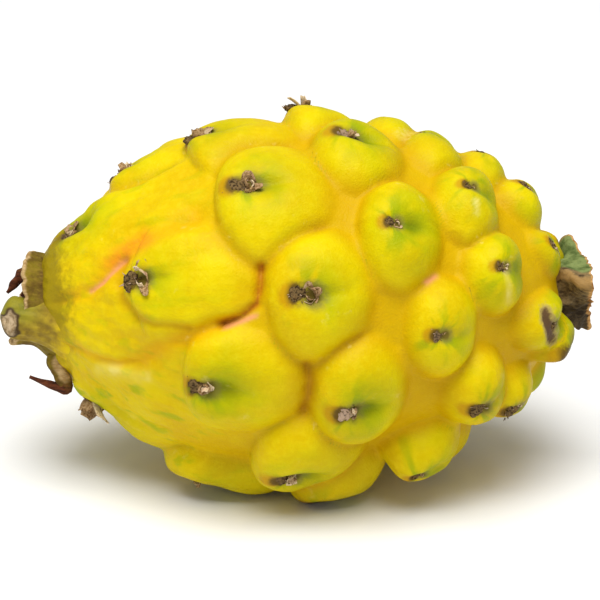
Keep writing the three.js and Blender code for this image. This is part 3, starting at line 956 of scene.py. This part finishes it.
def makeStem(material):
    tilt = math.radians(stem["tilt"])
    out = Vector((math.cos(tilt), 0, math.sin(tilt)))
    up = Vector((-math.sin(tilt), 0, math.cos(tilt)))
    front = Vector((0, -1, 0))
    rings = []
    marks = {name: [] for name in ("along", "rib", "green", "dark", "cut")}
    steps = [(i / stem["rows"], 1.0) for i in range(stem["rows"] + 1)]
    steps += [(1.0, 1 - i / stem["cutRows"]) for i in range(1, stem["cutRows"])]
    for t, inward in steps:
        swell = smoothStep(t, stem["swellFrom"], 1)
        ring = []
        rows = {name: [] for name in marks}
        for j in range(stem["around"]):
            angle = 2 * math.pi * j / stem["around"]
            c, n = math.cos(angle), math.sin(angle)
            wander = stem["ribWander"] * wobble(t * 5, 4)
            first = math.radians(stem["firstRib"] + stem["twist"] * t + wander)
            rib = 0.5 + 0.5 * math.cos(3 * (angle - first))
            face = ((angle - first) / math.radians(120)) % 3
            spread = stem["ribDepth"] * swell * (2 * rib ** 3 - 0.75)
            radius = mix((stem["rootRadius"], stem["cutRadius"]), swell) * (1 + spread)
            fresh = smoothStep(face, 0.06, 0.2) * (1 - smoothStep(face, 0.9, 1.1))  # the one green face
            wrinkle = stem["wrinkle"] * (1 - 0.6 * rib) * (1 - 0.75 * fresh)
            radius += wrinkle * wobble(c * 5.5 + t * 2, n * 5.5, t * 4)
            radius += stem["cork"] * wobble(c * 3, n * 3, t * 8) * (1 if n < -0.2 else 0.25)
            ragged = wobble(c * 1.4, n * 1.4, 3) + 0.15 * n + 0.4 * c + 0.3 * wobble(c * 9, n * 9, 3)
            x = stem["length"] * t + stem["frayed"] * smoothStep(t, 0.6, 1) * ragged
            if inward < 1:
                x -= stem["dish"] * (1 - inward ** 2) + stem["crumble"] * wobble(c * 9, n * 9, inward * 4)
                radius *= inward
            ring.append(Vector(stem["place"]) + out * x + front * (radius * c) + up * (radius * n))
            rows["along"].append(t)
            rows["rib"].append(rib)
            rows["green"].append(fresh)
            rows["dark"].append(smoothStep(-n, 0.0, 0.7))
            edge = 0.5 * smoothStep(t, 0.9 if n < 0.2 else 0.95, 1)
            rows["cut"].append(1 - inward if inward < 1 else edge)
        rings.append(ring)
        for name in marks:
            marks[name].append(rows[name])
    return loft("stemStub", rings, marks, material)


def makeStemMaterial():
    made, tree, shader = newMaterial("ribbedStem", stemFinish)
    place = objectPlace(tree) * 1000.0
    rib, green, along, dark, cut = (attributeOf(tree, n) for n in ("rib", "green", "along", "dark", "cut"))
    grain = place * joinXyz(tree, 0.5, 0.9, 0.9)
    colour, fibre = mottled(tree, grain, 1.0, *stemFinish["bark"], 0.36, 0.64, 5.0, 0.65)
    fresh, blot = mottled(tree, place, 0.4, *stemFinish["fresh"])
    colour = blend(tree, (green + fibre * 0.3 - 0.15).ramp(0.3, 0.7) * along.ramp(0.15, 0.4), colour, fresh)
    margin = (rib + fibre * 0.1 - 0.05).ramp(0.93, 0.99) * along.ramp(0.2, 0.5)
    colour = blend(tree, margin * 0.85, colour, hexColour(stemFinish["margin"]))
    # darker towards the bottom of the stem
    under = (dark + fibre * 0.6 - 0.3).ramp(0.5, 1.0) * 0.7
    colour = blend(tree, under, colour, hexColour(stemFinish["under"]))
    pith = mottled(tree, grain, 1.0, *stemFinish["pith"])[0]
    colour = blend(tree, (cut + fibre * 0.4 - 0.2).ramp(0.1, 0.4), colour, pith)
    feed(tree, shader.inputs["Base Color"], colour)
    bumped(tree, shader, fibre + blot * 0.5, stemFinish)
    return made


# withered flower: a torn collar and two dry bract fingers
collar = {"place": (-44, 0, -1), "tilt": 12, "length": 8.2, "rootRadius": 8.2, "rimRadius": 9.4,
          "flare": 2.6, "rimWidth": 1.3, "rimRound": 0.35, "dish": 1.6, "crumble": 0.7, "styleScar": 1.5,
          "torn": 1.5, "frayed": 0.7, "wrinkle": 0.6, "rows": 26, "rimRows": 4, "dishRows": 14, "around": 144}
fingers = {
    "upperBract": {"through": ((-47.5, -1, 8.4), (-49.5, -1.2, 7.4), (-52.4, -1.6, 5.2), (-54.8, -2, 2.4)),
                   "wide": 1.4, "thick": 0.8},
    "lowerBract": {"through": ((-44.0, -6.0, -6.5), (-45.9, -6.8, -9.7), (-44.8, -7.0, -12.6),
                               (-43.9, -7.0, -15.4), (-46.5, -7.0, -14.8), (-50.8, -7.0, -13.0)),
                   "wide": 1.5, "thick": 0.9},
}
bothFingers = {"taper": 0.75, "taperFrom": 0.55, "uneven": 0.25, "twist": 0.5, "lumps": 0.3,
               "rows": 40, "around": 16}
flowerFinish = {"roughness": 0.8, "specular": 0.12, "bump": 0.6, "bumpDepth": 0.6,
                "wall": ("7d6c1a", "5c451c"), "inside": ("33190f", "6b3a22"), "torn": ("9c7c4c", "c4a878"),
                "fibre": "94782e"}


def makeCollar(material):
    tilt = math.radians(collar["tilt"])
    out = Vector((-math.cos(tilt), 0, math.sin(tilt)))
    up = Vector((math.sin(tilt), 0, math.cos(tilt)))
    side = Vector((0, 1, 0))
    rings, rimMark, inMark, toneMark = [], [], [], []
    rows = collar["rows"]
    steps = [("wall", i / rows) for i in range(rows + 1)]
    steps += [("rim", i / collar["rimRows"]) for i in range(1, collar["rimRows"] + 1)]
    steps += [("dish", i / collar["dishRows"]) for i in range(1, collar["dishRows"])]
    for part, t in steps:
        ring, rowTone = [], []
        for j in range(collar["around"]):
            angle = 2 * math.pi * j / collar["around"]
            c, n = math.cos(angle), math.sin(angle)
            edge = collar["length"] + collar["torn"] * wobble(c * 1.6, n * 1.6, 1) \
                + collar["frayed"] * wobble(c * 7, n * 7, 2)
            if part == "wall":
                radius = mix((collar["rootRadius"], collar["rimRadius"]), t ** 1.6)
                radius += collar["flare"] * (1 - smoothStep(t, 0, 0.6))
                radius += collar["wrinkle"] * wobble(c * 5, n * 5, t * 2.5) * t
                x = edge * t
            else:
                rim = collar["rimRadius"] + collar["wrinkle"] * wobble(c * 5, n * 5, 2.5)
                if part == "rim":
                    radius = rim - collar["rimWidth"] * t
                    x = edge + collar["rimRound"] * math.sin(math.pi * t)
                else:
                    radius = (rim - collar["rimWidth"]) * (1 - t)
                    x = edge - collar["dish"] * min(1, t * 2.4)
                    x += collar["crumble"] * wobble(c * 6, n * 6, t * 6)
                    x += collar["styleScar"] * smoothStep(t, 0.6, 1)  # in the middle
            ring.append(Vector(collar["place"]) + out * x + side * (radius * c) + up * (radius * n))
            rowTone.append(0.5 + 0.5 * wobble(c * 4, n * 4, t * 3))
        rings.append(ring)
        atRim = {"wall": t ** 12, "rim": 1.0, "dish": 1 - t if t < 0.3 else 0.0}
        rimMark.append([atRim[part]] * len(ring))
        inMark.append([float(part == "dish")] * len(ring))
        toneMark.append(rowTone)
    return loft("flowerCollar", rings, {"rim": rimMark, "inside": inMark, "tone": toneMark}, material)


def spline(points, t):
    spans = len(points) - 1
    i = min(int(t * spans), spans - 1)
    u = t * spans - i
    a, b, c, d = (Vector(points[min(max(i + k, 0), spans)]) for k in (-1, 0, 1, 2))
    return 0.5 * (2 * b + (c - a) * u + (2 * a - 5 * b + 4 * c - d) * u ** 2
                  + (3 * b - a - 3 * c + d) * u ** 3)


def splineAhead(points, t, step=0.02):
    return (spline(points, min(t + step, 1)) - spline(points, max(t - step, 0))).normalized()


def makeFinger(name, shape, material):
    rings, rimMark, inMark, toneMark = [], [], [], []
    rows, around = bothFingers["rows"], bothFingers["around"]
    for i in range(rows + 1):
        t = i / rows
        here = spline(shape["through"], t)
        ahead = splineAhead(shape["through"], t)
        wide = ahead.cross(Vector((0, 1, 0.3))).normalized()
        thick = wide.cross(ahead)
        taper = 1 - bothFingers["taper"] * smoothStep(t, bothFingers["taperFrom"], 1)
        taper *= 1 + bothFingers["uneven"] * wobble(t * 9, 2)
        twist = bothFingers["twist"] * wobble(t * 4, 5)
        ring = []
        for j in range(around):
            angle = 2 * math.pi * j / around
            a = math.cos(angle + twist) * shape["wide"] * taper
            b = math.sin(angle + twist) * shape["thick"] * taper
            lump = 1 + bothFingers["lumps"] * wobble(math.cos(angle) * 2, math.sin(angle) * 2, t * 9)
            ring.append(here + (wide * a + thick * b) * lump)
        rings.append(ring)
        rimMark.append([(0.2 + 0.7 * smoothStep(math.cos(2 * math.pi * j / around), -0.3, 0.3))
                        * (1 - smoothStep(t, 0.4, 0.6)) for j in range(around)])
        inMark.append([smoothStep(t, 0.35, 0.65)] * around)
        toneMark.append([0.5 + 0.5 * wobble(t * 8, j * 0.4) for j in range(around)])
    return loft(name, rings, {"rim": rimMark, "inside": inMark, "tone": toneMark}, material)


# blunt dried knob beside the collar, scarred where a bract broke off
endKnob = {"through": ((-37.5, -7.0, -3.0), (-44.5, -6.8, -2.0), (-51.0, -6.4, -1.2), (-55.9, -6.0, -0.8)),
           "radius": (7.6, 4.0), "bluntFrom": 0.72, "broadLumps": 0.14, "fineLumps": 0.1, "scarAt": 0.83,
           "scarSize": 0.08, "scarTurn": 178, "scarWidth": 30, "scarDepth": 0.6, "scarLip": 0.7,
           "rows": 48, "around": 56}
knobFinish = {"roughness": 0.6, "specular": 0.15, "bump": 0.4, "bumpDepth": 0.6,
              "rind": ("dcc200", "d4b000"), "dry": ("80681e", "a38a22"), "cork": ("8c7450", "c4ac88"),
              "green": "7a8020", "scarEdge": "4a381e"}


def makeEndKnob(material):
    rings = []
    marks = {"along": [], "scar": [], "top": []}
    rows, around = endKnob["rows"], endKnob["around"]
    for i in range(rows):
        t = i / (rows - 1)
        here = spline(endKnob["through"], t)
        ahead = splineAhead(endKnob["through"], t)
        wide = ahead.cross(Vector((0, 0, 1))).normalized()
        tall = wide.cross(ahead) * -1
        blunt = math.sqrt(max(1 - smoothStep(t, endKnob["bluntFrom"], 1.0) ** 2 * 0.98, 0.01))
        ring = []
        rowMarks = {name: [] for name in marks}
        for j in range(around):
            angle = 2 * math.pi * j / around
            c, n = math.cos(angle), math.sin(angle)
            radius = mix(endKnob["radius"], smoothStep(t, 0, 0.6)) * blunt
            radius *= 1 + endKnob["broadLumps"] * wobble(c * 1.5, n * 1.5, t * 3) \
                + endKnob["fineLumps"] * wobble(c * 4, n * 4, t * 5)
            off = ((t - endKnob["scarAt"]) / endKnob["scarSize"]) ** 2 \
                + ((math.degrees(angle) - endKnob["scarTurn"]) / endKnob["scarWidth"]) ** 2
            off *= 1 + 0.9 * wobble(c * 3 + 9, n * 3, t * 12)
            lip = endKnob["scarLip"] * math.exp(-((off - 1.3) / 0.6) ** 2)
            radius -= endKnob["scarDepth"] * (math.exp(-off ** 2) - lip)
            ring.append(here + wide * (radius * c) + tall * (radius * n))
            for name, value in (("along", t), ("scar", math.exp(-off * 0.5)), ("top", 0.5 - 0.5 * n)):
                rowMarks[name].append(value)
        rings.append(ring)
        for name in marks:
            marks[name].append(rowMarks[name])
    return loft("endKnob", rings, marks, material)


def makeKnobMaterial():
    made, tree, shader = newMaterial("driedKnob", knobFinish)
    place = objectPlace(tree) * 1000.0
    along = attributeOf(tree, "along")
    scar, top = attributeOf(tree, "scar"), attributeOf(tree, "top")
    dry, fleck = mottled(tree, place, 0.45, *knobFinish["dry"])
    colour, blot = mottled(tree, place, 0.25, *knobFinish["rind"])
    colour = blend(tree, (along + blot * 0.5 - 0.25).ramp(0.2, 0.42), colour, dry)
    green = (top + fleck * 0.4 - 0.2).ramp(0.3, 0.8) * along.ramp(0.4, 0.7) * 0.6
    colour = blend(tree, green, colour, hexColour(knobFinish["green"]))
    scar = scar + fleck * 0.2
    colour = blend(tree, scar.ramp(0.25, 0.45), colour, hexColour(knobFinish["scarEdge"]))
    cork = mottled(tree, place, 1.2, *knobFinish["cork"])[0]
    colour = blend(tree, scar.ramp(0.5, 0.7), colour, cork)
    feed(tree, shader.inputs["Base Color"], colour)
    bumped(tree, shader, fleck, knobFinish)
    return made


def makeFlowerMaterial():
    made, tree, shader = newMaterial("driedFlower", flowerFinish)
    place = objectPlace(tree) * 1000.0
    rim, inside, tone = (attributeOf(tree, n) for n in ("rim", "inside", "tone"))
    grain = place * joinXyz(tree, 0.4, 1.3, 1.3)
    colour, blot = mottled(tree, place, 0.3, *flowerFinish["wall"], detail=3.0)
    dry, fibre = mottled(tree, grain, 1.0, *flowerFinish["inside"], 0.3, 0.7)
    colour = blend(tree, fibre.ramp(0.4, 0.75) * 0.5, colour, hexColour(flowerFinish["fibre"]))
    colour = blend(tree, inside, colour, dry)
    torn = mottled(tree, grain, 1.0, *flowerFinish["torn"])[0]
    colour = blend(tree, (rim + tone * 0.2).ramp(0.45, 0.95), colour, torn)
    feed(tree, shader.inputs["Base Color"], colour)
    bumped(tree, shader, fibre + blot * 0.6, flowerFinish)
    return made


stemStub = makeStem(makeStemMaterial())
dryKnob = makeEndKnob(makeKnobMaterial())
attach(dryKnob, "root")
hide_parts("fruit")
flowerMaterial = makeFlowerMaterial()
flowerPieces = [makeCollar(flowerMaterial)]
flowerPieces += [makeFinger(name, shape, flowerMaterial) for name, shape in fingers.items()]
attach(stemStub, "root")
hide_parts("stem")
for piece in flowerPieces:
    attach(piece, "root")
    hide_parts("withered_flower")

# pale floor, soft light and the photograph's camera
floorFinish = {"size": 4.0, "roughness": 0.9, "specular": 0.1, "colour": "eeeeed"}
light = {"sky": 0.34, "place": (-0.15, -0.65, 1.95), "aim": (0, 0, 0.03), "size": 1.5, "power": 56.0}


def makeStudio():
    mesh = bpy.data.meshes.new("paleFloor")
    half = floorFinish["size"] / 2
    mesh.from_pydata([(-half, -half, 0), (half, -half, 0), (half, half, 0), (-half, half, 0)],
                     [], [(0, 1, 2, 3)])
    floor = bpy.data.objects.new("paleFloor", mesh)
    scene.collection.objects.link(floor)
    material, _, shader = newMaterial("paleFloor", floorFinish)
    shader.inputs["Base Color"].default_value = hexColour(floorFinish["colour"])
    mesh.materials.append(material)
    world = bpy.data.worlds.new("softSky")
    world.use_nodes = True
    sky = world.node_tree.nodes["Background"]
    sky.inputs["Color"].default_value = (1, 1, 1, 1)
    sky.inputs["Strength"].default_value = light["sky"]
    scene.world = world
    lamp = bpy.data.lights.new("softBox", "AREA")
    lamp.size = light["size"]
    lamp.energy = light["power"]
    holder = bpy.data.objects.new("softBox", lamp)
    scene.collection.objects.link(holder)
    holder.location = light["place"]
    aim = Vector(light["aim"]) - holder.location
    holder.rotation_euler = aim.to_track_quat("-Z", "Y").to_euler()
    scene.view_settings.view_transform = "Standard"


def makeCamera():
    back = viewAxes()[2]
    data = bpy.data.cameras.new("photoCamera")
    data.sensor_width = view["sensor"]
    data.lens = view["sensor"] * view["distance"] / view["width"]
    data.clip_start = view["clipStart"]
    camera = bpy.data.objects.new("photoCamera", data)
    scene.collection.objects.link(camera)
    camera.location = (axisAt + Vector(view["target"]) + back * view["distance"]) * mm
    camera.rotation_euler = (-back).to_track_quat("-Z", "Y").to_euler()
    scene.camera = camera


makeStudio()
makeCamera()
print("studio and camera set")
